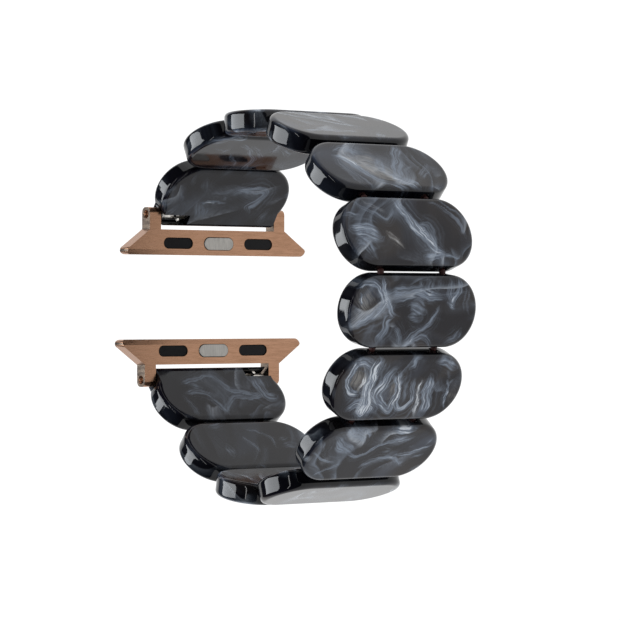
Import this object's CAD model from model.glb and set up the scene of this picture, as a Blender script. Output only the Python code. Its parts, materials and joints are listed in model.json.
import json
import math

import bmesh
import bpy
import numpy as np
from mathutils import Euler, Matrix, Vector


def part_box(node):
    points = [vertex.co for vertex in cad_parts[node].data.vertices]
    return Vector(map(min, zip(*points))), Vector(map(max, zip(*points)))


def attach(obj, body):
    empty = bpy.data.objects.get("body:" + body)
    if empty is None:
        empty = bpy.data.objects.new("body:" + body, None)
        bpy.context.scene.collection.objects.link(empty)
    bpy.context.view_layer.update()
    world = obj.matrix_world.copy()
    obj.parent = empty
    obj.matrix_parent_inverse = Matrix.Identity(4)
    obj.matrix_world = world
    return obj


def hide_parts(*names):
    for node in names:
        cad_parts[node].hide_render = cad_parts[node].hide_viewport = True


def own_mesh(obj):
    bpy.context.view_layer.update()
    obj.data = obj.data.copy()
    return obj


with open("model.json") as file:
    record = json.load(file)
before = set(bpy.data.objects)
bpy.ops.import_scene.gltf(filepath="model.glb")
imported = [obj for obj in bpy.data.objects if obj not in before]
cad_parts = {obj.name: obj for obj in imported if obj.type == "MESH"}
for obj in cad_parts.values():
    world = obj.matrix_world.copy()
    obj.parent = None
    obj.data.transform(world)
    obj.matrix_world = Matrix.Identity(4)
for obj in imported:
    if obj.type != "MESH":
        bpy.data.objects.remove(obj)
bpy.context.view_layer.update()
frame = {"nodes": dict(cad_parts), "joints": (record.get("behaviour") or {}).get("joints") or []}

# ---------------------------------------------------------------------------
# The camera: a long lens, level with the middle link, that looks down the
# bracelet at 37 degrees and lies on its side, with the upper lug on top.
MM = 0.001
CAMERA_STAND = Vector((0, -287.5, 232.4))*MM
middle_low, middle_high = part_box("link_07")
middle = (middle_low + middle_high)/2
camera_data = bpy.data.cameras.new("photo_camera")
camera_data.sensor_width = 36.0
camera_data.lens = 163.2
camera_data.clip_start, camera_data.clip_end = 0.01, 20.0
camera = bpy.data.objects.new("photo_camera", camera_data)
bpy.context.scene.collection.objects.link(camera)
camera_back = Vector((0, -0.7990, 0.6013))
camera_up = Vector((1, 0, 0))
camera_right = camera_up.cross(camera_back)
camera.matrix_world = Matrix.Translation(middle + CAMERA_STAND) @ Matrix(
    (camera_right, camera_up, camera_back)).transposed().to_4x4()
bpy.context.scene.camera = camera

# ---------------------------------------------------------------------------
# The studio: a white sweep that glows evenly, like a light table, in a dark
# room. A large soft box overhead draws the bright pane on each link's round
# end, and a narrow strip in front draws the thin lines on the rims.
SWEEP_FLAT = 3.0
SWEEP_RISE = 0.9
SWEEP_BENDS, SWEEP_TURNS = 12, 96
BAND_MIDDLE = (0, 0, 0.0155)
BOX_DISTANCE = 0.9
scene = bpy.context.scene
scene.view_settings.view_transform = "Standard"
room = bpy.data.worlds.new("studio_room")
room.use_nodes = True
room.node_tree.nodes["Background"].inputs["Color"].default_value = (0.30, 0.36, 0.46, 1)
room.node_tree.nodes["Background"].inputs["Strength"].default_value = 0.10
scene.world = room


def soft_box(name, direction, width, height, radiance, color=(1, 1, 1)):
    """An area light that faces the band, given by its radiance and not by its power."""
    data = bpy.data.lights.new(name, "AREA")
    data.shape = "RECTANGLE"
    data.size, data.size_y = width, height
    data.energy = radiance*math.pi*width*height
    data.color = color
    light = bpy.data.objects.new(name, data)
    scene.collection.objects.link(light)
    way = Vector(direction).normalized()
    light.location = Vector(BAND_MIDDLE) + way*BOX_DISTANCE
    light.rotation_euler = way.to_track_quat("Z", "Y").to_euler()


soft_box("strip_front", (0.0, -0.60, 0.80), 0.80, 0.035, 9.0)
soft_box("box_overhead", (0.0, 0.42, 0.91), 0.78, 0.90, 8.2, (0.93, 0.965, 1.0))

profile = [(0.0, 0.0), (SWEEP_FLAT, 0.0)]
profile += [(SWEEP_FLAT + SWEEP_RISE*math.sin(a), SWEEP_RISE*(1 - math.cos(a)))
            for a in (math.pi/2*k/SWEEP_BENDS for k in range(1, SWEEP_BENDS + 1))]
sweep_work = bmesh.new()
sweep_edge = [sweep_work.verts.new((r, 0, z)) for r, z in profile]
for one, other in zip(sweep_edge, sweep_edge[1:]):
    sweep_work.edges.new((one, other))
bmesh.ops.spin(sweep_work, geom=sweep_work.verts[:] + sweep_work.edges[:], cent=(0, 0, 0), axis=(0, 0, 1),
               angle=math.tau, steps=SWEEP_TURNS, use_merge=True)
bmesh.ops.remove_doubles(sweep_work, verts=sweep_work.verts, dist=1e-5)
for face in sweep_work.faces:
    face.smooth = True
    if face.normal.z < 0 or (abs(face.normal.z) < 1e-3 and face.normal.dot(face.calc_center_median()) > 0):
        face.normal_flip()
sweep_mesh = bpy.data.meshes.new("white_sweep")
sweep_work.to_mesh(sweep_mesh)
sweep_work.free()
sweep = bpy.data.objects.new("white_sweep", sweep_mesh)
scene.collection.objects.link(sweep)
sweep_paint = bpy.data.materials.new("white_sweep_paint")
sweep_paint.use_nodes = True
sweep_shader = sweep_paint.node_tree.nodes["Principled BSDF"]
sweep_shader.inputs["Base Color"].default_value = (0.04, 0.04, 0.04, 1)
sweep_shader.inputs["Roughness"].default_value = 0.8
sweep_shader.inputs["Emission Color"].default_value = (1, 1, 1, 1)
sweep_shader.inputs["Emission Strength"].default_value = 1.0
sweep_mesh.materials.append(sweep_paint)

# ---------------------------------------------------------------------------
# Marbled resin: nearly black acetate with blue grey, taupe and pearl wisps that
# were folded in while it was soft, then polished to a gloss. It reads each
# link's own millimetres, so that every link is cut from another place.
RESIN_DEEP = (0.0008, 0.0008, 0.0014, 1)
RESIN_DARK = (0.005, 0.004, 0.0075, 1)
RESIN_TAUPE = (0.060, 0.047, 0.036, 1)
RESIN_CLOUD = (0.10, 0.13, 0.19, 1)
RESIN_BLUE = (0.255, 0.31, 0.395, 1)
RESIN_CREAM = (0.36, 0.33, 0.285, 1)
RESIN_PEARL = (0.74, 0.78, 0.83, 1)
BLOCK_SQUEEZE = (1.0, 0.68, 1.0)
# Each folding: how many folds a millimetre, how fine, and how far in millimetres.
LARGE_FOLDS = (0.06, 1.0, 22.0)
SMALL_FOLDS = (0.17, 1.0, 6.5)
SHEET_SCALE = 0.108
PATCH_SCALE = 0.17
SHEETS, OTHER_SHEETS = 5.5, 6.5


class Tree:
    """Adds nodes to a tree, each with its inputs, and returns their outputs."""

    def __init__(self, tree):
        self.tree = tree

    def fill(self, socket, value):
        if isinstance(value, bpy.types.NodeSocket):
            self.tree.links.new(value, socket)
        else:
            socket.default_value = value

    def node(self, kind, settings=None, out=0, **inputs):
        made = self.tree.nodes.new(kind)
        for name, value in (settings or {}).items():
            setattr(made, name, value)
        for name, value in inputs.items():
            self.fill(made.inputs[int(name[1:]) if name[0] == "_" else name.replace("_", " ")], value)
        return made.outputs[out]

    def math(self, operation, a, b=0.0):
        return self.node("ShaderNodeMath", {"operation": operation}, _0=a, _1=b)

    def times(self, first, *others):
        for other in others:
            first = self.math("MULTIPLY", first, other)
        return first

    def plus(self, first, *others):
        for other in others:
            first = self.math("ADD", first, other)
        return first

    def vector(self, operation, a, b=(0, 0, 0)):
        return self.node("ShaderNodeVectorMath", {"operation": operation}, _0=a, _1=b)

    def scaled(self, a, factor):
        return self.node("ShaderNodeVectorMath", {"operation": "SCALE"}, Vector=a, Scale=factor)

    def split(self, vector):
        made = self.tree.nodes.new("ShaderNodeSeparateXYZ")
        self.fill(made.inputs[0], vector)
        return made.outputs[0], made.outputs[1], made.outputs[2]

    def join(self, x, y, z):
        return self.node("ShaderNodeCombineXYZ", X=x, Y=y, Z=z)

    def noise(self, at, scale, detail=1.0, out=0, rough=0.5):
        return self.node("ShaderNodeTexNoise", out=out, Vector=at, Scale=scale, Detail=detail, Roughness=rough)

    def ramp(self, value, low, high, to=(0.0, 1.0)):
        return self.node("ShaderNodeMapRange", {"interpolation_type": "SMOOTHSTEP"}, Value=value,
                         From_Min=low, From_Max=high, To_Min=to[0], To_Max=to[1])

    def mix(self, factor, a, b):
        made = self.tree.nodes.new("ShaderNodeMix")
        made.data_type = "RGBA"
        for socket, value in ((made.inputs[0], factor), (made.inputs[6], a), (made.inputs[7], b)):
            self.fill(socket, value)
        return made.outputs[2]


resin = bpy.data.materials.new("marbled_resin")
resin.use_nodes = True
resin_shader = resin.node_tree.nodes["Principled BSDF"]
t = Tree(resin.node_tree)


def pushed(at, scale, detail, distance):
    """A place moved by a noise of its own, as soft resin is when it is folded."""
    push = t.vector("SUBTRACT", t.noise(at, scale, detail, out="Color"), (0.5, 0.5, 0.5))
    return t.vector("ADD", at, t.scaled(push, distance))


def attribute(tree, name, out="Vector"):
    return tree.node("ShaderNodeAttribute", {"attribute_name": name}, out=out)


grain = attribute(t, "grain")
once = pushed(t.vector("MULTIPLY", grain, BLOCK_SQUEEZE), *LARGE_FOLDS)
twice = pushed(once, *SMALL_FOLDS)
sheet, fold, drift = t.split(t.noise(twice, SHEET_SCALE, 0.0, out="Color"))
wave = t.math("FRACT", t.times(sheet, SHEETS))
wave_two = t.math("FRACT", t.times(fold, OTHER_SHEETS))
across = t.ramp(t.noise(t.join(t.times(sheet, 8.0), t.times(fold, 70.0), t.times(drift, 70.0)), 1.0, 3.0, rough=0.55),
                0.3, 0.75, (0.43, 1.05))
along = t.ramp(t.noise(t.join(t.times(sheet, 80.0), t.times(fold, 10.0), t.times(drift, 30.0)), 1.0, 3.0, rough=0.55),
               0.3, 0.75, (0.43, 1.05))
here = t.ramp(t.noise(t.vector("ADD", once, (50, 0, 0)), PATCH_SCALE), 0.47, 0.62)
here_two = t.ramp(t.noise(t.vector("ADD", once, (0, 70, 0)), PATCH_SCALE), 0.47, 0.62)
crisp = t.ramp(wave, 1.0, 0.90)
glow = t.times(t.math("POWER", wave, 2.0), crisp, here, across)
core = t.times(t.math("POWER", wave, 6.0), crisp, here, here, across)
glow_two = t.times(t.math("POWER", wave_two, 3.0), t.ramp(wave_two, 1.0, 0.85), here_two, along)
cloud = t.ramp(t.noise(t.vector("ADD", twice, (0, 0, 40)), PATCH_SCALE), 0.52, 0.78, (0.0, 0.4))
warmth = t.ramp(t.noise(t.vector("ADD", once, (0, 0, 90)), PATCH_SCALE), 0.49, 0.64, (0.0, 0.3))

# The wisps that show most were folded in one by one, and are laid on each link
# as the attributes "wisp" (how bright, how warm) and "strand" (along, across).
wisp, wisp_warm, quiet = t.split(attribute(t, "wisp"))
strand = t.vector("MULTIPLY", attribute(t, "strand"), (0.30, 3.4, 1.0))
strands = t.ramp(t.noise(strand, 1.0, 4.0, rough=0.65), 0.38, 0.62, (0.26, 1.34))
laid = t.times(wisp, strands)
calm = t.math("SUBTRACT", 1.0, quiet)
color = t.mix(t.times(warmth, t.ramp(quiet, 0.3, 0.6, (1.0, 0.15))), RESIN_DARK, RESIN_TAUPE)
color = t.mix(t.times(cloud, calm), color, RESIN_CLOUD)
color = t.mix(t.times(glow_two, calm), color, RESIN_BLUE)
color = t.mix(t.times(glow, calm), color, RESIN_BLUE)
color = t.mix(t.times(core, calm), color, RESIN_PEARL)
color = t.mix(laid, color, t.mix(wisp_warm, RESIN_BLUE, RESIN_CREAM))
color = t.mix(t.ramp(laid, 0.62, 1.15, (0.0, 0.8)), color, RESIN_PEARL)
# The pearl's flakes lie flat in the sheet, so a link's sides look nearly black.
lie = attribute(t, "lie", "Fac")
color = t.mix(t.ramp(lie, 0.25, 0.95, (0.86, 0.0)), color, RESIN_DEEP)
resin.node_tree.links.new(color, resin_shader.inputs["Base Color"])
haze = t.noise(grain, 0.9, 2.0)
resin.node_tree.links.new(t.ramp(haze, 0.3, 0.7, (0.045, 0.085)), resin_shader.inputs["Roughness"])
resin_shader.inputs["IOR"].default_value = 1.5
resin_shader.inputs["Specular IOR Level"].default_value = 0.31
polish = t.node("ShaderNodeBump", Strength=0.12, Distance=0.02*MM, Height=t.noise(grain, 0.35, 1.0))
resin.node_tree.links.new(polish, resin_shader.inputs["Normal"])

# ---------------------------------------------------------------------------
# The eleven plain links: a stadium slab of polished resin, with rounded long
# edges and two drilled cord holes through its width. One node tree walks along
# the slab's section, sweeps it round the stadium and drills it.
LINK_LENGTH = 21.7*MM
LINK_WIDTH = 9.7*MM
LINK_THICKNESS = 3.0*MM
LINK_EDGE = 0.7*MM
CORD_SPACING = 10.4*MM
CORD_HOLE = 1.1*MM
HOLE_FLARE = 0.15*MM
MOUTH_OVERLAP = 0.1*MM
DRILL_SIDES = 40
DRILL_REACH = 1.2
# The section stops this short of the slab's middle, where the sweep is merged.
MIDDLE_SEAM, SEAM_MERGE = 0.0015*MM, 0.006*MM
SHARP_ANGLE = 28.0
FACE_STEPS, EDGE_STEPS, WALL_STEPS = 28, 8, 6
STRAIGHT_STEPS, ROUND_STEPS = 84, 92


def add_input(tree, name, kind, value=None):
    socket = tree.interface.new_socket(name, in_out="INPUT", socket_type=kind)
    if value is not None:
        socket.default_value = value
    return socket.identifier


def with_inputs(tree, *inputs):
    """Gives a node tree its inputs and its output, and returns the inputs' identifiers by name."""
    names = {entry[0]: add_input(tree, *entry) for entry in inputs}
    tree.interface.new_socket("Geometry", in_out="OUTPUT", socket_type="NodeSocketGeometry")
    return names


FLOAT, VECTOR, MATERIAL = "NodeSocketFloat", "NodeSocketVector", "NodeSocketMaterial"
link_tree = bpy.data.node_groups.new("resin_link", "GeometryNodeTree")
link_inputs = with_inputs(
    link_tree, ("Length", FLOAT, LINK_LENGTH), ("Width", FLOAT, LINK_WIDTH), ("Thickness", FLOAT, LINK_THICKNESS),
    ("Edge Radius", FLOAT, LINK_EDGE), ("Cord Spacing", FLOAT, CORD_SPACING), ("Cord Hole", FLOAT, CORD_HOLE),
    ("Flare", FLOAT, HOLE_FLARE), ("Grain Turn", FLOAT, 0.0), ("Grain Place", VECTOR, (0, 0, 0)),
    ("Turn", FLOAT, 0.0), ("Place", VECTOR, (0, 0, 0)), ("Resin", MATERIAL))
g = Tree(link_tree)
given = link_tree.nodes.new("NodeGroupInput").outputs


def walked(tree, steps):
    """How far, from 0 to 1, a line's points are along each stretch of so many steps."""
    step = tree.node("GeometryNodeInputIndex")
    starts = [sum(steps[:k]) for k in range(len(steps))]
    return [tree.node("ShaderNodeMapRange", Value=step, From_Min=float(start), From_Max=float(start + count))
            for start, count in zip(starts, steps)]


def half_turned(tree, share, operation, radius, turn=math.pi/2):
    """The radius times the sine or cosine of the turn that a stretch has made."""
    return tree.times(tree.math(operation, tree.times(share, turn)), radius)


half_width = g.math("DIVIDE", given["Width"], 2.0)
half_straight = g.math("DIVIDE", g.math("SUBTRACT", given["Length"], given["Width"]), 2.0)
section_steps = (FACE_STEPS, EDGE_STEPS, WALL_STEPS, EDGE_STEPS, FACE_STEPS)
face_out, edge_out, wall, edge_in, face_in = walked(g, section_steps)
reach = g.math("SUBTRACT", half_width, MIDDLE_SEAM)
flat = g.math("SUBTRACT", reach, given["Edge Radius"])
section_x = g.plus(g.times(flat, face_out), half_turned(g, edge_out, "SINE", given["Edge Radius"]),
                   half_turned(g, edge_in, "COSINE", given["Edge Radius"]))
section_x = g.math("SUBTRACT", section_x, g.plus(given["Edge Radius"], g.times(flat, face_in), reach))
section_y = g.math("SUBTRACT", g.math("DIVIDE", given["Thickness"], 2.0), given["Edge Radius"])
wall_height = g.math("SUBTRACT", given["Thickness"], g.times(given["Edge Radius"], 2.0))
section_y = g.plus(section_y, half_turned(g, edge_out, "COSINE", given["Edge Radius"]))
section_y = g.math("SUBTRACT", section_y, g.plus(g.times(wall_height, wall),
                                                 half_turned(g, edge_in, "SINE", given["Edge Radius"])))
section = g.node("GeometryNodeMeshToCurve", Mesh=g.node(
    "GeometryNodeSetPosition", Geometry=g.node("GeometryNodeMeshLine", Count=sum(section_steps) + 1),
    Position=g.join(section_x, section_y, 0.0)))

outline_steps = (STRAIGHT_STEPS, ROUND_STEPS, STRAIGHT_STEPS, ROUND_STEPS)
side_one, end_one, side_two, end_two = walked(g, outline_steps)
straight = g.times(half_straight, 2.0)
outline_x = g.plus(half_turned(g, end_one, "COSINE", half_width, math.pi), half_width)
outline_x = g.math("SUBTRACT", outline_x, half_turned(g, end_two, "COSINE", half_width, math.pi))
outline_y = g.plus(g.times(straight, side_one), half_turned(g, end_one, "SINE", half_width, math.pi))
outline_y = g.math("SUBTRACT", outline_y, g.plus(
    g.times(straight, side_two), half_turned(g, end_two, "SINE", half_width, math.pi), half_straight))
outline = g.node("GeometryNodeMeshToCurve", Mesh=g.node(
    "GeometryNodeSetPosition", Geometry=g.node("GeometryNodeMeshLine", Count=sum(outline_steps)),
    Position=g.join(outline_x, outline_y, 0.0)))
outline = g.node("GeometryNodeSetSplineCyclic", Geometry=outline, Cyclic=True)
outline = g.node("GeometryNodeSetCurveNormal", {"mode": "Z_UP"}, Curve=outline)
slab = g.node("GeometryNodeCurveToMesh", Curve=outline, Profile_Curve=section)
slab = g.node("GeometryNodeMergeByDistance", Geometry=slab, Distance=SEAM_MERGE)


def lying_across(mesh, x, y, turn):
    """A drill's mesh laid along the link's width, at (x, y)."""
    return g.node("GeometryNodeTransform", Geometry=mesh, Translation=g.join(x, y, 0.0), Rotation=(0, turn, 0))


drilled = link_tree.nodes.new("GeometryNodeMeshBoolean")
drilled.operation, drilled.solver = "DIFFERENCE", "MANIFOLD"
link_tree.links.new(slab, drilled.inputs["Mesh 1"])
hole_radius = g.math("DIVIDE", given["Cord Hole"], 2.0)
mouth_depth = g.times(given["Flare"], 2.0)
for side in (-0.5, 0.5):
    y = g.times(given["Cord Spacing"], side)
    bore = g.node("GeometryNodeMeshCylinder", Vertices=DRILL_SIDES, Radius=hole_radius,
                  Depth=g.times(given["Width"], DRILL_REACH))
    drills = [lying_across(bore, 0.0, y, math.pi/2)]
    for end in (-1.0, 1.0):
        mouth = g.node("GeometryNodeMeshCone", Vertices=DRILL_SIDES, Radius_Bottom=g.plus(hole_radius, mouth_depth),
                       Radius_Top=g.math("SUBTRACT", hole_radius, MOUTH_OVERLAP),
                       Depth=g.plus(mouth_depth, MOUTH_OVERLAP))
        drills.append(lying_across(mouth, g.times(g.plus(half_width, given["Flare"]), end), y, -end*math.pi/2))
    for drill in drills:
        link_tree.links.new(drill, drilled.inputs["Mesh 2"])
own = g.scaled(g.node("ShaderNodeVectorRotate", {"rotation_type": "Z_AXIS"},
                      Vector=g.node("GeometryNodeInputPosition"), Angle=given["Grain Turn"]), 1/MM)
finished = g.node("GeometryNodeStoreNamedAttribute", {"data_type": "FLOAT_VECTOR"}, Geometry=drilled.outputs["Mesh"],
                  Name="grain", Value=g.vector("ADD", own, given["Grain Place"]))
finished = g.node("GeometryNodeStoreNamedAttribute", {"data_type": "FLOAT"}, Geometry=finished, Name="lie",
                  Value=g.math("ABSOLUTE", g.split(g.node("GeometryNodeInputNormal"))[2]))
finished = g.node("GeometryNodeSetShadeSmooth", Geometry=finished, Shade_Smooth=True)
sharp = g.node("FunctionNodeCompare", {"operation": "GREATER_THAN"}, _0=g.node(
    "GeometryNodeInputMeshEdgeAngle", out="Unsigned Angle"), _1=math.radians(SHARP_ANGLE))
finished = g.node("GeometryNodeSetShadeSmooth", {"domain": "EDGE"}, Geometry=finished, Selection=sharp,
                  Shade_Smooth=False)
finished = g.node("GeometryNodeTransform", Geometry=finished, Translation=given["Place"],
                  Rotation=g.join(math.pi/2, 0.0, given["Turn"]))
finished = g.node("GeometryNodeSetMaterial", Geometry=g.node("GeometryNodeRealizeInstances", Geometry=finished),
                  Material=given["Resin"])
link_tree.links.new(finished, link_tree.nodes.new("NodeGroupOutput").inputs["Geometry"])


def made_plain(piece):
    """Makes what a piece's modifiers show its own plain mesh, and removes them."""
    bpy.context.view_layer.update()
    mesh = bpy.data.meshes.new_from_object(piece.evaluated_get(bpy.context.evaluated_depsgraph_get()))
    piece.modifiers.clear()
    piece.data = mesh


def grown(tree, identifiers, name, **values):
    """The plain mesh that a node tree makes with these inputs, as an object."""
    piece = bpy.data.objects.new(name, bpy.data.meshes.new(name))
    scene.collection.objects.link(piece)
    modifier = piece.modifiers.new("made", "NODES")
    modifier.node_group = tree
    for key, value in values.items():
        modifier[identifiers[key.replace("_", " ")]] = value
    made_plain(piece)
    piece.data.name = name
    return piece


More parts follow.
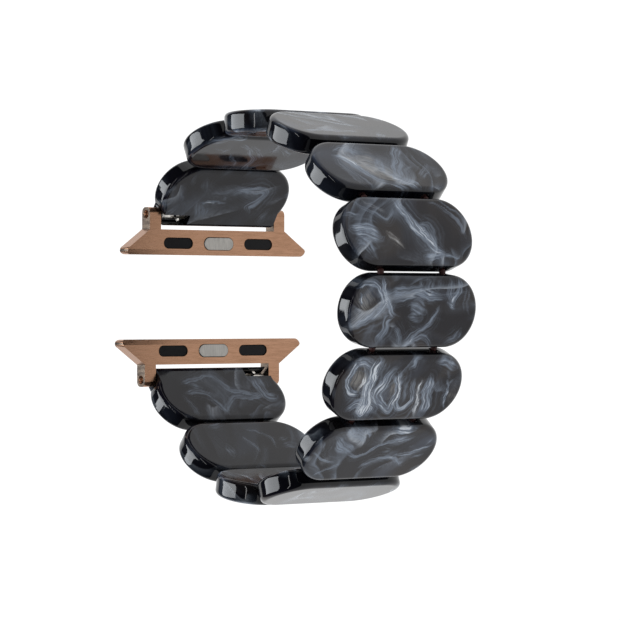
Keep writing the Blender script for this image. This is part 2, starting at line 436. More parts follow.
# Each wisp is a ribbon on the link's face: how bright it is, how warm, and to
# which side it fades (0: to either in turn), then its points in millimetres
# (right, up, half width).
WISPS = {
    1: [(0.35, 0, 0, (-4.5, 3.4, 0.4), (-4.6, 2, 0.5), (-4.8, 0.8, 0.3)),
        (0.3, 0, 0, (-2.8, 3.2, 0.3), (-3.4, 1.4, 0.3)),
        (0.9, 0, 0, (-4, 0.7, 0.1), (-2.6, 0.9, 0.1), (-0.4, 0.8, 0.06)),
        (1, 0, 0, (-0.45, 0.15, 0.12), (-0.3, 0, 0.12)),
        (0.5, 0, 0, (4.2, 2.2, 0.3), (4, 1.4, 0.4), (5.2, 0.4, 0.4), (5.9, -0.8, 0.4), (4, -1.2, 0.4),
         (2.2, -0.9, 0.3), (0.6, -0.4, 0.2)),
        (0.25, 0, 0, (-5, -2.4, 0.4), (-4.6, -1.2, 0.3)),
        (0.25, 0, 0, (-3, -0.6, 0.2), (1, -1.4, 0.3), (5, -1.8, 0.3)),
        (0.3, 0, 0, (-9, 3, 0.4), (-8.2, 1.8, 0.3)),
        (0.25, 0, 0, (-8, 0.8, 0.2), (-8.2, -0.8, 0.2)),
        (0.3, 0, 0, (7.4, 3.6, 0.5), (7.8, 2.2, 0.3))],
    2: [(0.4, 0, 0, (0.2, 4.2, 0.3), (0.4, 2.6, 0.35), (-0.2, 0.8, 0.3), (-1.8, -0.8, 0.3), (-3.8, -2.4, 0.2)),
        (0.3, 0, 0, (1.4, 0.6, 0.2), (0.2, -0.9, 0.2), (-2, -2.4, 0.15)),
        (0.25, 0, 0, (-1.6, 3.4, 0.15), (-3.2, 1.4, 0.2), (-4.8, -0.4, 0.15)),
        (0.7, 0, 0, (2.2, -1, 0.15), (2.6, -1.4, 0.15)),
        (0.35, 0, 0, (5.2, -0.2, 0.4), (3.8, -1.6, 0.3)),
        (0.55, 0, 0, (-9.2, -2.6, 0.4), (-8, -3.2, 0.4), (-6.4, -4.2, 0.3), (-5, -3.9, 0.25), (-4.4, -4.4, 0.2)),
        (0.35, 0, 0, (-6.2, -0.4, 0.15), (-5.4, -1.4, 0.2)),
        (0.3, 0, 0, (-7.8, -1.1, 0.1), (-5.6, -0.6, 0.1))],
    4: [(0.5, 0, 0, (-2.8, -4.4, 0.5), (-2.2, -4.5, 0.5)),
        (0.5, 0, 0, (4.8, -3.2, 0.5), (4.2, -4.2, 0.5)),
        (0.3, 0, 0, (-4, 2.4, 0.2), (1, 1.9, 0.2)),
        (0.4, 0, 0, (-8, -2.6, 0.3), (-3, -2.2, 0.3), (1, -2.6, 0.2))],
    5: [(0.47, 0, 0, (4.4, 4, 0.5), (3.2, 1.6, 0.6), (2, -0.6, 0.55), (1, -2.4, 0.4)),
        (0.58, 0, 0, (0.3, -2.2, 0.3), (1.8, -2.8, 0.5), (3.2, -3.4, 0.6), (4, -4.4, 0.4)),
        (0.47, 0, 0, (-7.5, 1.4, 0.2), (-5.5, 0.6, 0.4), (-4.6, -0.8, 0.4), (-3, -3, 0.4), (-0.5, -4.2, 0.3),
         (1.5, -4.7, 0.3)),
        (0.35, 0.8, 0, (-6.5, 1.3, 0.3), (-4.5, 0.8, 0.5), (-2.5, -1, 0.5), (-0.5, -2.4, 0.4), (1, -3, 0.3)),
        (0.23, 0, 0, (-7.5, 1, 0.2), (-7, -1, 0.25), (-6.2, -3, 0.25), (-5.2, -4.6, 0.2)),
        (0.27, 0, 0, (-7, 0.8, 0.2), (-6, -1, 0.25), (-5, -3.2, 0.25), (-3.8, -4.7, 0.2)),
        (0.47, 0, 0, (-6.5, 2.4, 0.15), (-4.6, 3, 0.4), (-2.6, 2.2, 0.35)),
        (0.39, 0.7, 0, (-5.5, 1.2, 0.4), (-3, 1, 0.9), (-0.8, 0.2, 1.3)),
        (0.31, 0, 0, (0.2, 1.4, 0.3), (-0.6, 0, 0.5), (-1.2, -1.2, 0.4)),
        (0.31, 0, 0, (8.2, 0.2, 0.2), (7, -1.2, 0.4), (5.6, -2.6, 0.35)),
        (0.23, 0, 0, (5, 0.2, 0.15), (3.8, -0.6, 0.25), (3, -1.6, 0.2))],
    6: [(0.65, 0, 0, (-1.4, 4.3, 0.45), (-0.9, 2.8, 0.5), (0.3, 1.3, 0.45), (1.6, -0.4, 0.55), (2.8, -2, 0.5),
         (4.8, -3.2, 0.2)),
        (0.42, 0, 0, (1.6, 1, 0.4), (2.9, 0.3, 0.9), (3.6, -0.9, 0.8), (3.3, -2.2, 0.4)),
        (0.55, 0, 0, (1.8, -4, 0.3), (2.8, -3.7, 0.3), (4.6, -3.5, 0.2), (6.6, -3.8, 0.15), (7.4, -3.4, 0.1)),
        (0.6, 0, 0, (-9.6, 0.2, 0.4), (-8.2, 0.3, 0.8), (-6.6, -0.1, 0.8), (-5.2, -0.5, 0.5)),
        (0.5, 0, 0, (-10.4, 1.9, 0.15), (-9.2, 1.9, 0.2), (-8.2, 2, 0.2)),
        (0.45, 0, 0, (-8.4, 4, 0.12), (-6, 2.8, 0.15), (-4.2, 1.8, 0.2), (-3, 1.9, 0.2), (-2.4, 3, 0.2)),
        (0.3, 0.3, 0, (-7, 4.2, 0.1), (-5, 3, 0.14), (-3.4, 2.5, 0.12)),
        (0.6, 0.7, 0, (-4, 0, 0.1), (-3, -1, 0.2), (-1.6, -2.2, 0.15)),
        (0.42, 0, 0, (-9, -1.6, 0.4), (-7.8, -2.4, 0.5), (-7, -3.4, 0.4)),
        (0.35, 0, 0, (4.2, 4.2, 0.1), (7, 3, 0.15), (9, 1, 0.2), (9.3, -0.6, 0.2)),
        (0.3, 0, 0, (6, 4.3, 0.1), (8.2, 3, 0.12), (9.8, 1, 0.12))],
    7: [(0.6, 0, 0, (-9.8, 3, 0.2), (-8.6, 3.5, 0.3), (-6.6, 3.5, 0.3), (-5.9, 2.6, 0.3), (-5.6, 1, 0.4),
         (-6.4, -0.2, 0.45), (-8, -0.9, 0.4), (-9.6, -1.4, 0.4)),
        (0.35, 0.7, 0, (-8.8, 2.4, 0.8), (-7.2, 1, 0.8)),
        (0.6, 0, 0, (-9.4, 2.2, 0.12), (-9, 1.2, 0.12), (-8.6, 0.7, 0.1)),
        (0.6, 0, 0, (-5.8, 4.5, 0.15), (-5.2, 3, 0.2), (-4.8, 1.6, 0.3), (-3.9, 0.2, 0.2), (-3.3, -0.4, 0.15)),
        (0.5, 0, 0, (-3.5, -0.3, 0.2), (-4.6, -1, 0.4), (-5, -2.2, 0.4), (-5.8, -3.6, 0.3)),
        (0.5, 0, 1, (-3.8, 1.6, 0.4), (-2.4, 1.9, 0.5), (-0.5, 2.1, 0.45), (1.4, 1.9, 0.4), (3, 1.8, 0.3),
         (4.6, 1.6, 0.2)),
        (0.4, 0, 0, (5.4, 4.2, 0.3), (5.6, 2.6, 0.4), (6.2, 1.2, 0.3)),
        (0.6, 0, 0, (7.4, 4.3, 0.25), (7.2, 2.6, 0.3), (6.2, 0.9, 0.25)),
        (0.8, 0, 0, (5.6, 1, 0.2), (6.6, 0.6, 0.2)),
        (0.3, 0, 0, (4, 4, 0.4), (4, 2.8, 0.4)),
        (0.4, 0, 0, (2, 3.9, 0.5), (2.2, 2.8, 0.5), (3.4, 2.6, 0.3)),
        (0.3, 0, 0, (0.8, 4.2, 0.2), (0.8, 3, 0.2)),
        (0.25, 0, 0, (8.2, 3.6, 0.08), (8.4, 0, 0.08)),
        (0.25, 0, 0, (8.8, 3.2, 0.08), (9.2, -0.4, 0.08)),
        (0.5, 0, 0, (-0.8, 0.6, 0.3), (0.4, 0.5, 0.6), (1.8, 0, 0.4)),
        (0.5, 0, 0, (-1, -0.6, 0.2), (0.6, -0.4, 0.5)),
        (0.5, 0, 0, (3.9, 0.6, 0.12), (3.6, -0.6, 0.2), (2, -2, 0.25), (0, -2.9, 0.3), (-1.2, -4, 0.4)),
        (0.4, 0, 0, (-1.4, -4.5, 0.3), (0.4, -3.6, 0.25), (2.4, -3.4, 0.3), (3.6, -4.4, 0.2)),
        (0.45, 0, 0, (-3.2, -2.2, 0.3), (-2.6, -3, 0.3), (-2.2, -4.2, 0.3)),
        (0.35, 0, 0, (8.4, -2.6, 0.2), (7.4, -3.6, 0.3), (6, -4.3, 0.3))],
    8: [(0.7, 0, 0, (-8, 3.8, 0.3), (-8.9, 2.4, 0.3), (-8.9, 0.6, 0.3), (-8, -0.5, 0.35), (-6.8, -0.8, 0.4)),
        (0.58, 0, 0, (-8.2, 3.9, 0.4), (-6.6, 4.1, 0.4), (-5.4, 3.8, 0.5)),
        (0.35, 0.8, 0, (-7.8, 2.8, 0.6), (-7.8, 0.4, 0.6)),
        (1, 0.6, 0, (-6.5, 2.2, 0.15), (-6.3, 1, 0.2), (-6.7, -0.2, 0.15)),
        (0.87, 0, 0, (-5, 4.3, 0.4), (-5.3, 2.4, 0.5), (-5.4, 0.4, 0.5), (-5.2, -1.6, 0.6), (-5.4, -3.8, 0.7)),
        (0.58, 0, 0, (-4.2, 4.2, 0.3), (-4.2, 2.4, 0.3), (-4.5, 0.8, 0.2)),
        (0.64, 0, 0, (-7.6, -3.2, 0.3), (-6.2, -2.4, 0.5), (-5.2, -3.4, 0.5), (-4.2, -2.6, 0.3), (-4, -3.8, 0.3)),
        (0.7, 0, 0, (-1.6, 2.6, 0.4), (-2.4, 1, 0.6), (-3.2, -0.6, 0.6), (-2.2, -2.2, 0.5), (-1, -2.8, 0.4),
         (-0.5, -1.4, 0.35), (-0.6, 0.6, 0.4), (-1.2, 2.2, 0.4)),
        (0.35, 0.8, 0, (-1.4, 0.8, 0.3), (-1.4, -1.2, 0.3)),
        (0.64, 0, 0, (0.3, 1.2, 0.25), (0.1, -0.4, 0.25), (0.4, -2.2, 0.3), (1.4, -3, 0.3), (2.4, -2, 0.3),
         (2.3, -0.2, 0.3), (2, 1.2, 0.2)),
        (0.41, 0, 0, (1.2, 1, 0.2), (1, -0.4, 0.25), (1.2, -1.6, 0.2)),
        (1, 0.4, 0, (3.4, 1.2, 0.12), (3.5, -0.6, 0.15), (3.7, -2.6, 0.2), (4, -3.8, 0.2)),
        (0.64, 0, 0, (4.6, 1.4, 0.4), (4.7, -0.4, 0.6), (5, -2.2, 0.6), (4.9, -3.6, 0.5)),
        (0.52, 0, 0, (2.2, 4.3, 0.2), (1.6, 4, 0.2), (1.7, 3.2, 0.25), (0.9, 2.7, 0.2)),
        (0.58, 0, 0, (5.2, 3.8, 0.3), (6.6, 3.6, 0.5), (8.4, 3, 0.4)),
        (0.81, 0, 0, (8.1, 1.2, 0.1), (8.3, -0.8, 0.12), (8.6, -3, 0.1)),
        (0.29, 0.8, 0, (9.3, -0.8, 0.6), (9.3, -1.6, 0.6)),
        (0.46, 0, 0, (8.2, 0.4, 0.1), (9, 1.2, 0.12))],
    9: [(0.55, 0, 0, (-6.4, 4.6, 0.4), (-5, 4, 0.7), (-3.4, 3.2, 0.7), (-2.4, 2.4, 0.3)),
        (0.5, 0, 0, (-7.2, 3.2, 0.3), (-6, 2.2, 0.6), (-4.6, 1.2, 0.6), (-3.8, 0.6, 0.3)),
        (0.8, 0, 0, (1.8, 4.4, 0.4), (3.2, 4.1, 0.6), (4.8, 4.4, 0.4)),
        (0.5, 0, 0, (-4, 0.2, 0.12), (-2.6, -0.1, 0.2), (-1.2, 0.4, 0.2), (0.4, 1.6, 0.2), (2.4, 2.4, 0.2),
         (4.6, 3.2, 0.15)),
        (0.5, 0, 0, (2.6, 2, 0.2), (4.4, 2.3, 0.2), (5.8, 2.7, 0.12)),
        (0.6, 0, 0, (3.6, -0.6, 0.15), (5.6, -0.1, 0.2), (7.6, 0.7, 0.2), (9.6, 1.2, 0.15)),
        (0.35, 0, 0, (1.8, 0.4, 0.15), (3.2, 0.5, 0.15)),
        (0.3, 0, 0, (5.6, 1, 0.1), (6.6, 1.2, 0.1)),
        (0.5, 0, 0, (-0.8, -2.4, 0.2), (0.4, -1.4, 0.25), (2.2, -0.8, 0.25), (4.2, -1.2, 0.25), (5.8, -2.2, 0.2)),
        (0.5, 0, 0, (5.2, -1.8, 0.15), (6.2, -1.2, 0.2)),
        (0.45, 0, 0, (-10.2, 0.4, 0.12), (-8.2, -0.6, 0.15), (-6, -1.5, 0.12)),
        (0.35, 0, 0, (-8.4, -3.5, 0.12), (-6.4, -2.5, 0.15), (-4.6, -1.4, 0.1)),
        (0.5, 0, 0, (8.8, 2.6, 0.3), (8.6, 1.8, 0.2)),
        (0.35, 0, 0, (8.6, -0.6, 0.2), (7.2, -0.8, 0.1)),
        (0.3, 0, 0, (-9.6, 2.4, 0.2), (-8.8, 0.9, 0.2))],
    10: [(0.3, 0, 0, (-4, 0, 0.3), (-2.2, -1.6, 0.3)),
        (0.3, 0, 0, (4.6, 4.2, 0.3), (3, 3.4, 0.2))],
    12: [(0.35, 0, 0, (-4.8, 2, 0.4), (-4.6, 0.8, 0.5)),
        (0.5, 0, 0, (0.6, 1.6, 0.12), (0, 0.2, 0.15), (-0.8, -1.4, 0.1)),
        (0.25, 0, 0, (3.8, 0.8, 0.1), (3.6, -0.8, 0.15), (2.2, -2.4, 0.1), (0.4, -3, 0.1)),
        (0.25, 0, 0, (5.4, 1, 0.3), (6.8, 0.6, 0.5)),
        (0.35, 0, 0, (5.2, -0.8, 0.2), (6.4, -1.2, 0.2)),
        (0.3, 0, 0, (-5.4, -3.6, 0.3), (-3.2, -4, 0.4)),
        (0.4, 0, 0, (-1, 4.2, 0.1), (0.2, 4.6, 0.1))],
    13: [(0.4, 0, 0, (-6.2, 1.8, 0.2), (-4, 2.6, 0.25), (-2, 3.4, 0.25), (-0.6, 2.8, 0.25), (0.6, 1.4, 0.3),
         (2, 0.2, 0.3), (4.2, -0.1, 0.25), (6.2, -0.4, 0.2)),
        (0.4, 0, 0, (-6.4, 0.2, 0.2), (-4.6, 0.8, 0.3), (-3.2, 0.2, 0.3), (-2, -0.8, 0.3)),
        (0.35, 0, 0, (-5, 1.6, 0.4), (-3.6, 1.2, 0.3)),
        (0.35, 0, 0, (6.6, -0.8, 0.3), (4, -0.9, 0.25), (1.4, -1, 0.3), (0.2, -1.8, 0.3), (-1, -3.4, 0.35)),
        (0.4, 0, 0, (-3, -1.2, 0.2), (-1.8, -2, 0.3), (-1.2, -3.6, 0.3)),
        (0.45, 0, 0, (6.8, 3, 0.4), (7.2, 1.2, 0.7), (7.4, -0.6, 0.5), (8.6, -0.4, 0.4)),
        (0.2, 0, 0, (-7, -0.6, 0.3), (-6.6, -2.2, 0.3), (-6, -3.8, 0.3))],
}


KNOT_STEPS = 12
WISP_SPREAD, LEAST_WIDTH, MOST_COVER = 1.15, 0.06, 0.97
USUAL_FADE, FADE_LEAN = 0.55, 0.6
EDGE_END, EDGE_SOFTNESS = 1.40, 0.60
TAPER_LENGTH, TAPER_START = 0.9, 0.25
# Fainter lines beside each wisp: how bright, and how many half widths out.
ECHOES, ECHO_WIDTH = ((0.22, 2.0), (0.12, 2.9)), 0.24


def lay_wisps(piece, place, turn, wisps, quiet):
    """Writes the wisps that cross each point of a resin piece as its attributes, with how quiet the rest is."""
    count = len(piece.data.vertices)
    points = np.empty(count*3)
    piece.data.vertices.foreach_get("co", points)
    back = np.array((Matrix.Translation(place) @ Euler((math.pi/2, 0, turn)).to_matrix().to_4x4()).inverted())
    flat_place = (points.reshape(-1, 3) @ back[:3, :3].T + back[:3, 3])/MM
    u, v = -flat_place[:, 1], flat_place[:, 0]
    u, v = (u + 0.16*np.sin(1.9*v + 0.7*u + turn) + 0.05*np.sin(5.3*v - 2.0*u),
            v + 0.16*np.sin(1.3*u - 0.8*v + 2*turn) + 0.05*np.sin(4.1*u + 2.3*v))
    dark, strongest = np.ones(count), np.full(count, 1e-6)
    warm, strand_of = np.zeros(count), np.zeros((count, 3))
    for number, (bright, warmth_of, fade, *knots) in enumerate(wisps):
        knots = np.array(knots, float)
        knots = np.vstack([2*knots[0] - knots[1], knots, 2*knots[-1] - knots[-2]])
        path = []
        for p0, p1, p2, p3 in zip(knots, knots[1:], knots[2:], knots[3:]):
            s = np.linspace(0, 1, KNOT_STEPS, endpoint=False)[:, None]
            path.append(0.5*(2*p1 + (p2 - p0)*s + (2*p0 - 5*p1 + 4*p2 - p3)*s**2 + (3*p1 - p0 - 3*p2 + p3)*s**3))
        path = np.vstack(path + [knots[-2:-1]])
        run_length = np.concatenate([[0], np.cumsum(np.hypot(*np.diff(path[:, :2], axis=0).T))])
        best, along_of, aside, width = np.full(count, 1e9), np.zeros(count), np.zeros(count), np.ones(count)
        for k in range(len(path) - 1):
            a, step_of = path[k], path[k + 1] - path[k]
            share = ((u - a[0])*step_of[0] + (v - a[1])*step_of[1])/max(step_of[0]**2 + step_of[1]**2, 1e-9)
            share = np.clip(share, 0, 1)
            du, dv = u - a[0] - share*step_of[0], v - a[1] - share*step_of[1]
            far = np.hypot(du, dv)
            near = far < best
            best[near] = far[near]
            along_of[near] = (run_length[k] + share*(run_length[k + 1] - run_length[k]))[near]
            aside[near] = (far*np.sign(step_of[0]*dv - step_of[1]*du))[near]
            width[near] = WISP_SPREAD*np.maximum(a[2] + share*step_of[2], LEAST_WIDTH)[near]
        across_of = np.abs(aside)/width
        fade = fade or USUAL_FADE*(-1)**number
        across_of = across_of*np.where(aside*fade > 0, 1 - FADE_LEAN*abs(fade), 1 + FADE_LEAN*abs(fade))
        edge_of = np.clip((EDGE_END - across_of)/EDGE_SOFTNESS, 0, 1)
        taper = np.clip(np.minimum(along_of, run_length[-1] - along_of)/TAPER_LENGTH + TAPER_START, 0, 1)
        echo = sum(faint*np.exp(-((across_of - out)/ECHO_WIDTH)**2) for faint, out in ECHOES)
        amount = bright*taper*np.maximum(edge_of*edge_of*(3 - 2*edge_of), echo)
        dark *= 1 - np.clip(amount, 0, MOST_COVER)
        stronger = amount > strongest
        strongest[stronger] = amount[stronger]
        warm[stronger] = warmth_of
        strand_of[stronger] = np.column_stack([along_of, aside, np.full(count, 7.0*number)])[stronger]
    layer = piece.data.attributes.new("wisp", "FLOAT_VECTOR", "POINT")
    quiet_of = np.full(count, quiet)
    layer.data.foreach_set("vector", np.column_stack([1 - dark, warm, quiet_of]).astype(np.float32).ravel())
    layer = piece.data.attributes.new("strand", "FLOAT_VECTOR", "POINT")
    layer.data.foreach_set("vector", strand_of.astype(np.float32).ravel())


# Where each link was cut from the block: turned so far, and from this place.
CUT_FROM = {
    1: (-2.527, (218.02, 36.95, -812.23)), 2: (-1.518, (-659.49, 624.31, -749.95)),
    3: (0.300, (-151.0, 83.0, 92.0)), 4: (0.737, (488.87, 195.10, 215.16)),
    5: (-0.092, (-190.29, 245.67, -74.99)), 6: (-0.441, (-690.24, 659.25, 226.37)),
    7: (-0.241, (88.71, 369.06, -361.04)), 8: (-0.813, (819.60, -322.77, -570.38)),
    9: (-2.844, (-248.21, -575.58, -695.69)), 10: (-1.604, (577.86, 606.82, -418.70)),
    11: (1.200, (310.0, -77.0, 145.0)), 12: (1.362, (-705.60, -364.00, -231.15)),
    13: (2.278, (258.96, -189.63, 544.08)),
}
# How far the rest of the pattern is held back: more on the links that show
# their inner face, and not at all on the two without laid wisps.
USUAL_QUIET = 0.30
QUIET = {1: 0.6, 2: 0.6, 3: 0.0, 11: 0.0, 12: 0.6, 13: 0.6}
pivots = {joint["name"]: Vector(joint["pos_m"]) for joint in frame["joints"] if joint["type"] == "hinge"}
for number in range(2, 13):
    run = pivots[f"flex_{number - 1:02d}_{number:02d}"] - pivots[f"flex_{number:02d}_{number + 1:02d}"]
    turn = math.atan2(run.y, run.x)
    node_name = f"link_{number:02d}"
    low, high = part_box(node_name)
    grain_turn, grain_place = CUT_FROM[number]
    link = grown(link_tree, link_inputs, "resin_" + node_name, Place=tuple((low + high)/2), Turn=turn,
                 Grain_Turn=grain_turn, Grain_Place=grain_place, Resin=resin)
    lay_wisps(link, (low + high)/2, turn, WISPS.get(number, ()), QUIET.get(number, USUAL_QUIET))
    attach(link, node_name)
    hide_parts(node_name)

# ---------------------------------------------------------------------------
# The two elastic cords: rubber cores in a braided dark red sleeve. Each length
# is drawn once as a node tree, with the braid's strands raised on it, and runs
# through its link or crosses its gap, ending round where the band flexes.
CORD_DIAMETER = 0.9*MM
CORD_SIDES, CORD_STEP = 40, 0.09*MM
BRAID_STRANDS, BRAID_PITCH, BRAID_RELIEF = 5, 2.4*MM, 0.035*MM
cord_sleeve = bpy.data.materials.new("braided_cord_sleeve")
cord_sleeve.use_nodes = True
cord_shader = cord_sleeve.node_tree.nodes["Principled BSDF"]
t = Tree(cord_sleeve.node_tree)
raised = attribute(t, "braid", "Fac")
fibre = t.noise(t.node("ShaderNodeTexCoord", out="Object"), 9000.0, 2.0)
color = t.mix(raised, (0.006, 0.002, 0.002, 1), (0.042, 0.011, 0.010, 1))
t.fill(cord_shader.inputs["Base Color"], t.mix(t.times(fibre, 0.3), color, (0.08, 0.028, 0.024, 1)))
t.fill(cord_shader.inputs["Roughness"], t.ramp(fibre, 0.3, 0.7, (0.55, 0.75)))
cord_shader.inputs["Specular IOR Level"].default_value = 0.25
t.fill(cord_shader.inputs["Normal"], t.node("ShaderNodeBump", Strength=0.5, Distance=0.02*MM, Height=fibre))

cord_tree = bpy.data.node_groups.new("braided_cord", "GeometryNodeTree")
cord_inputs = with_inputs(
    cord_tree, ("Start", VECTOR, (0, 0, 0)), ("End", VECTOR, (0, 0, 0)), ("Radius", FLOAT, CORD_DIAMETER/2),
    ("Cord Spacing", FLOAT, CORD_SPACING), ("Round End", FLOAT, 0.0), ("Strands", FLOAT, float(BRAID_STRANDS)),
    ("Pitch", FLOAT, BRAID_PITCH), ("Relief", FLOAT, BRAID_RELIEF), ("Sleeve", MATERIAL))
g = Tree(cord_tree)
given = cord_tree.nodes.new("NodeGroupInput").outputs
run_line = g.node("GeometryNodeResampleCurve", {"mode": "LENGTH"}, Curve=g.node(
    "GeometryNodeCurvePrimitiveLine", Start=given["Start"], End=given["End"]), Length=CORD_STEP)
passed = g.node("GeometryNodeSplineParameter", out="Length")
whole = g.node("ShaderNodeVectorMath", {"operation": "DISTANCE"}, out="Value", _0=given["Start"], _1=given["End"])
ball = g.node("ShaderNodeMapRange", Value=passed, From_Min=g.math("SUBTRACT", whole, given["Radius"]),
              From_Max=whole, To_Min=0.0, To_Max=0.995)
narrowed = g.math("SQRT", g.math("SUBTRACT", 1.0, g.times(ball, ball, given["Round End"])))
run_line = g.node("GeometryNodeStoreNamedAttribute", {"data_type": "FLOAT"}, Geometry=run_line, Name="passed",
                  Value=passed)
ring = g.node("GeometryNodeCurvePrimitiveCircle", Resolution=CORD_SIDES, Radius=given["Radius"])
ring = g.node("GeometryNodeStoreNamedAttribute", {"data_type": "FLOAT"}, Geometry=ring, Name="round_it",
              Value=g.times(g.node("GeometryNodeSplineParameter"), math.tau))
sleeve = g.node("GeometryNodeCurveToMesh", Curve=run_line, Profile_Curve=ring, Scale=narrowed, Fill_Caps=True)
round_it = g.times(g.node("GeometryNodeInputNamedAttribute", {"data_type": "FLOAT"}, Name="round_it"),
                   given["Strands"])
slant = g.times(g.math("DIVIDE", g.node("GeometryNodeInputNamedAttribute", {"data_type": "FLOAT"}, Name="passed"),
                       given["Pitch"]), given["Strands"], math.tau)
over = g.times(g.math("SINE", g.plus(round_it, slant)), g.math("SINE", g.math("SUBTRACT", round_it, slant)))
height = g.plus(g.times(over, 0.5), 0.5)
sleeve = g.node("GeometryNodeStoreNamedAttribute", {"data_type": "FLOAT"}, Geometry=sleeve, Name="braid",
                Value=height)
sunk = g.times(g.math("SUBTRACT", height, 1.0), given["Relief"])
sleeve = g.node("GeometryNodeSetPosition", Geometry=sleeve,
                Offset=g.scaled(g.node("GeometryNodeInputNormal"), sunk))
pair = cord_tree.nodes.new("GeometryNodeJoinGeometry")
for side in (-0.5, 0.5):
    moved = g.node("GeometryNodeTransform", Geometry=sleeve,
                   Translation=g.join(0.0, 0.0, g.times(given["Cord Spacing"], side)))
    cord_tree.links.new(moved, pair.inputs[0])
finished = g.node("GeometryNodeSetShadeSmooth", Geometry=g.node(
    "GeometryNodeRealizeInstances", Geometry=pair.outputs[0]), Shade_Smooth=True)
finished = g.node("GeometryNodeSetMaterial", Geometry=finished, Material=given["Sleeve"])
cord_tree.links.new(finished, cord_tree.nodes.new("NodeGroupOutput").inputs["Geometry"])


def cord_line(node, along=None):
    """The ends of the lower cord's centre line in a CAD node, and its direction."""
    points = np.array([vertex.co for vertex in frame["nodes"][node].data.vertices if vertex.co.z < middle.z])[:, :2]
    centre = points.mean(axis=0)
    if along is None:
        along = np.linalg.eigh(np.cov((points - centre).T))[1][:, 1]
    aside = np.array([-along[1], along[0]])
    far, off = (points - centre) @ along, (points - centre) @ aside
    centre = centre + aside*(off.min() + off.max())/2
    return [Vector((*(centre + along*reach), middle.z)) for reach in (far.min(), far.max())], along


for number in range(1, 14):
    (start, end), along = cord_line(f"cord_run_{number:02d}")
    lengths = [(f"cord_run_{number:02d}", f"{'end_' if number in (1, 13) else ''}link_{number:02d}", start, end, 0.0)]
    # A gap's cord is drawn out of the link that is nearer the middle of the band.
    for one, other in ((number - 1, number), (number, number + 1)):
        gap = f"{one:02d}_{other:02d}"
        if 1 <= one and other <= 13 and (number == other <= 7 or number == one >= 7):
            start, end = cord_line("cord_gap_" + gap, along)[0]
            if (start - pivots["flex_" + gap]).xy.length < (end - pivots["flex_" + gap]).xy.length:
                start, end = end, start
            lengths.append(("cord_gap_" + gap, "cord_gap_" + gap, start, end, 1.0))
    for node_name, body, start, end, rounded in lengths:
        cord = grown(cord_tree, cord_inputs, "braided_" + node_name, Start=tuple(start), End=tuple(end),
                     Round_End=rounded, Sleeve=cord_sleeve)
        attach(cord, body)
        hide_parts(node_name)

# ---------------------------------------------------------------------------
# The two end links, squared where they sit between the ears, drilled along
# their length for the spring bar and notched for its release knob. They are
# milled from the same resin.
END_GRID = 0.18*MM
END_REACH = (9.0*MM, 11.0*MM)
END_MIDDLE = 0.55
WELD = 0.0005*MM


def welded(node, name, bevel=0.0, angle=30.0, segments=2):
    """A merged copy of a CAD node, with its sharp edges broken by a small bevel."""
    source = frame["nodes"][node]
    work = bmesh.new()
    work.from_mesh(source.data)
    bmesh.ops.remove_doubles(work, verts=work.verts, dist=WELD)
    bmesh.ops.dissolve_limit(work, angle_limit=math.radians(0.4), verts=work.verts, edges=work.edges)
    mesh = bpy.data.meshes.new(name)
    work.to_mesh(mesh)
    work.free()
    piece = bpy.data.objects.new(name, mesh)
    scene.collection.objects.link(piece)
    if bevel:
        rounding = piece.modifiers.new("rounding", "BEVEL")
        rounding.width, rounding.segments = bevel, segments
        rounding.limit_method, rounding.angle_limit = "ANGLE", math.radians(angle)
        made_plain(piece)
        piece.data.name = name
    return piece


def smoothed(piece):
    """Shades a piece smoothly between its sharp edges, with its wide faces kept flat."""
    work = bmesh.new()
    work.from_mesh(piece.data)
    for face in work.faces:
        face.smooth = True
    for edge in work.edges:
        edge.smooth = not (edge.is_manifold and edge.calc_face_angle(0) > math.radians(SHARP_ANGLE))
    work.to_mesh(piece.data)
    work.free()
    wide = piece.modifiers.new("wide_faces", "WEIGHTED_NORMAL")
    wide.keep_sharp, wide.weight = True, 90
    made_plain(piece)


for number, lug_joint, cord_joint in ((1, "upper_lug_turn", "flex_01_02"), (13, "lower_lug_turn", "flex_12_13")):
    node_name = f"end_link_{number:02d}"
    end_link = welded(node_name, "resin_" + node_name, 0.05*MM)
    run = pivots[lug_joint] - pivots[cord_joint]
    turn = math.atan2(run.y, run.x)
    place = pivots[cord_joint] + run*END_MIDDLE
    laid_down = Matrix.Translation(place) @ Euler((math.pi/2, 0, turn)).to_matrix().to_4x4()
    work = bmesh.new()
    work.from_mesh(end_link.data)
    for axis, extent in enumerate(END_REACH):
        normal = laid_down.to_3x3() @ Vector((axis == 0, axis == 1, 0))
        for k in range(-int(extent/END_GRID), int(extent/END_GRID) + 1):
            bmesh.ops.bisect_plane(work, geom=work.verts[:] + work.edges[:] + work.faces[:], dist=1e-8,
                                   plane_co=place + normal*(k*END_GRID), plane_no=normal)
    work.to_mesh(end_link.data)
    work.free()
    smoothed(end_link)
    grain_turn, grain_place = CUT_FROM[number]
    back = Matrix.Rotation(grain_turn, 3, "Z") @ laid_down.inverted().to_3x3()
    grain_of = [(back @ (vertex.co - place))/MM + Vector(grain_place) for vertex in end_link.data.vertices]
    lie_of = [abs((back @ vertex.normal).z) for vertex in end_link.data.vertices]
    layer = end_link.data.attributes.new("grain", "FLOAT_VECTOR", "POINT")
    layer.data.foreach_set("vector", [value for row in grain_of for value in row])
    layer = end_link.data.attributes.new("lie", "FLOAT", "POINT")
    layer.data.foreach_set("value", lie_of)
    lay_wisps(end_link, place, turn, WISPS[number], QUIET[number])
    end_link.data.materials.clear()
    end_link.data.materials.append(resin)
    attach(end_link, node_name)
    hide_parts(node_name)

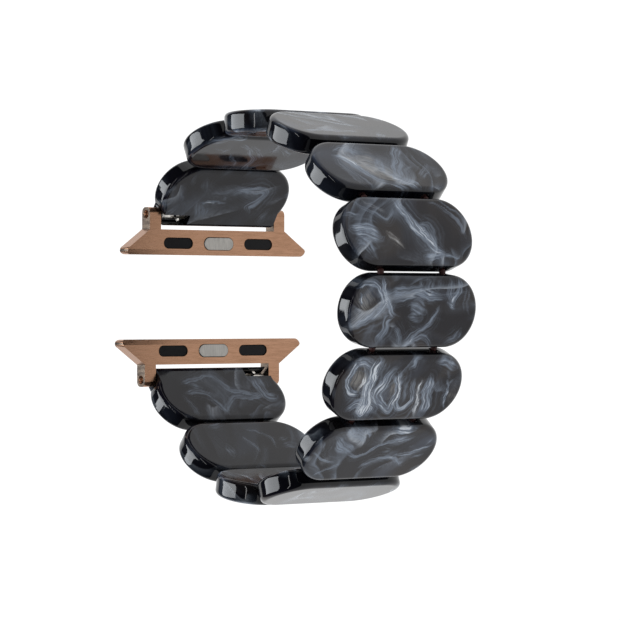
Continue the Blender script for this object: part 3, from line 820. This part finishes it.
# ---------------------------------------------------------------------------
# The quick release bars: a turned steel barrel with a slot for the knob, a
# fixed tip, a sprung tip that the knob draws back, and a wound spring inside.
def metal(name, dark, light, roughness, fineness, bump=0.004*MM):
    """Turned, brushed or drawn metal: its lines are a noise drawn out along one axis, in lines a millimetre."""
    material = bpy.data.materials.new(name)
    material.use_nodes = True
    shader = material.node_tree.nodes["Principled BSDF"]
    shader.inputs["Metallic"].default_value = 1.0
    t = Tree(material.node_tree)
    at = t.vector("MULTIPLY", t.node("ShaderNodeTexCoord", out="Object"), tuple(f/MM for f in fineness))
    lines = t.noise(at, 1.0, 4.0, rough=0.65)
    speck = t.noise(t.scaled(at, 2.3), 1.0, 2.0)
    t.fill(shader.inputs["Base Color"], t.mix(t.ramp(t.plus(t.times(lines, 0.7), t.times(speck, 0.3)), 0.33, 0.67),
                                              (*dark, 1), (*light, 1)))
    t.fill(shader.inputs["Roughness"], t.ramp(lines, 0.3, 0.7, (roughness - 0.05, roughness + 0.07)))
    t.fill(shader.inputs["Normal"], t.node("ShaderNodeBump", Strength=0.6, Distance=bump, Height=lines))
    return material


turned_steel = metal("turned_steel", (0.66, 0.635, 0.59), (0.80, 0.77, 0.72), 0.34, (0.5, 0.5, 7.0))
spring_wire = metal("drawn_spring_wire", (0.34, 0.33, 0.32), (0.48, 0.47, 0.45), 0.28, (3.0, 3.0, 3.0))
coil_tree = bpy.data.node_groups.new("wound_spring", "GeometryNodeTree")
coil_inputs = with_inputs(
    coil_tree, ("Place", VECTOR, (0, 0, 0)), ("Height", FLOAT, 10.0*MM), ("Coil Radius", FLOAT, 0.33*MM),
    ("Wire Radius", FLOAT, 0.065*MM), ("Turns", FLOAT, 28.0), ("Wire", MATERIAL))
g = Tree(coil_tree)
given = coil_tree.nodes.new("NodeGroupInput").outputs
wire_line = g.node("GeometryNodeCurveSpiral", Resolution=20, Rotations=given["Turns"],
                   Start_Radius=given["Coil Radius"], End_Radius=given["Coil Radius"],
                   Height=g.math("SUBTRACT", given["Height"], g.times(given["Wire Radius"], 2.2)))
coil = g.node("GeometryNodeCurveToMesh", Curve=wire_line, Fill_Caps=True, Profile_Curve=g.node(
    "GeometryNodeCurvePrimitiveCircle", Resolution=10, Radius=given["Wire Radius"]))
coil = g.node("GeometryNodeTransform", Geometry=g.node("GeometryNodeSetShadeSmooth", Geometry=coil, Shade_Smooth=True),
              Translation=g.vector("ADD", given["Place"], g.join(0.0, 0.0, g.times(given["Wire Radius"], 1.1))))
coil = g.node("GeometryNodeSetMaterial", Geometry=g.node("GeometryNodeRealizeInstances", Geometry=coil),
              Material=given["Wire"])
coil_tree.links.new(coil, coil_tree.nodes.new("NodeGroupOutput").inputs["Geometry"])

for side, body, fixed_end in (("upper", "end_link_01", 0), ("lower", "end_link_13", 1)):
    for part, rides_on in (("bar_barrel", body), ("bar_fixed_tip", body),
                           ("bar_release_tip", f"{side}_release_tip")):
        piece = welded(f"{side}_{part}", f"steel_{side}_{part}", 0.04*MM, 40)
        smoothed(piece)
        piece.data.materials.clear()
        piece.data.materials.append(turned_steel)
        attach(piece, rides_on)
        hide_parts(f"{side}_{part}")
    low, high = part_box(f"{side}_bar_spring")
    spring = grown(coil_tree, coil_inputs, f"wound_{side}_bar_spring", Height=high.z - low.z, Wire=spring_wire,
                   Place=((low.x + high.x)/2, (low.y + high.y)/2, low.z))
    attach(spring, body)
    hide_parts(f"{side}_bar_spring")
    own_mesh(spring)

# ---------------------------------------------------------------------------
# The lugs: rose gold plated steel, brushed along their length. The ends are cut
# across the brushing and look darker than the faces.
rose_gold = metal("brushed_rose_gold", (0.300, 0.166, 0.101), (0.410, 0.230, 0.146), 0.28, (3.2, 3.2, 0.35),
                  0.002*MM)
cut_end = metal("cut_rose_gold", (0.055, 0.042, 0.034), (0.11, 0.085, 0.065), 0.34, (2.5, 0.6, 2.5))
CUT_FACING = 0.97
for side in ("upper", "lower"):
    lug = welded(f"{side}_lug", f"plated_{side}_lug", 0.07*MM, 30, 3)
    smoothed(lug)
    lug.data.materials.clear()
    lug.data.materials.append(rose_gold)
    lug.data.materials.append(cut_end)
    for face in lug.data.polygons:
        face.material_index = 1 if abs(face.normal.z) > CUT_FACING else 0
    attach(lug, f"{side}_lug")
    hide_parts(f"{side}_lug")

# ---------------------------------------------------------------------------
# In the lugs' windows: two black rubber pads and, between them, the steel latch
# button on its leaf spring, closed in by a cover plate from the other side.
black_rubber = bpy.data.materials.new("moulded_black_rubber")
black_rubber.use_nodes = True
pad_shader = black_rubber.node_tree.nodes["Principled BSDF"]
t = Tree(black_rubber.node_tree)
pores = t.noise(t.node("ShaderNodeTexCoord", out="Object"), 5200.0, 3.0)
t.fill(pad_shader.inputs["Base Color"], t.mix(t.ramp(pores, 0.35, 0.7), (0.0035, 0.0035, 0.0042, 1),
                                              (0.009, 0.008, 0.0095, 1)))
t.fill(pad_shader.inputs["Roughness"], t.ramp(pores, 0.3, 0.7, (0.42, 0.62)))
pad_shader.inputs["Specular IOR Level"].default_value = 0.16
t.fill(pad_shader.inputs["Normal"], t.node("ShaderNodeBump", Strength=0.35, Distance=0.01*MM, Height=pores))
satin_steel = metal("satin_steel", (0.26, 0.25, 0.235), (0.385, 0.37, 0.345), 0.34, (0.5, 3.0, 3.6))
leaf_steel = metal("leaf_spring_steel", (0.30, 0.30, 0.31), (0.42, 0.42, 0.43), 0.25, (4.0, 4.0, 0.5))
for side in ("upper", "lower"):
    for part, material, slot_name, rides_on, bevel, name in (
            ("lug_pads", black_rubber, "pads", "lug", 0.10*MM, "rubber"),
            ("latch_button", satin_steel, "latch", "latch", 0.12*MM, "satin"),
            ("latch_spring", leaf_steel, "spring", "lug", 0.015*MM, "leaf"),
            ("latch_cover", satin_steel, "cover", "lug", 0.05*MM, "satin")):
        piece = welded(f"{side}_{part}", f"{name}_{side}_{part}", bevel, 40, 3)
        smoothed(piece)
        piece.data.materials.clear()
        piece.data.materials.append(material)
        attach(piece, f"{side}_{rides_on}")
        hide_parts(f"{side}_{part}")
        if part == "latch_spring":
            low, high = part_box(f"{side}_{part}")
            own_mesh(piece)
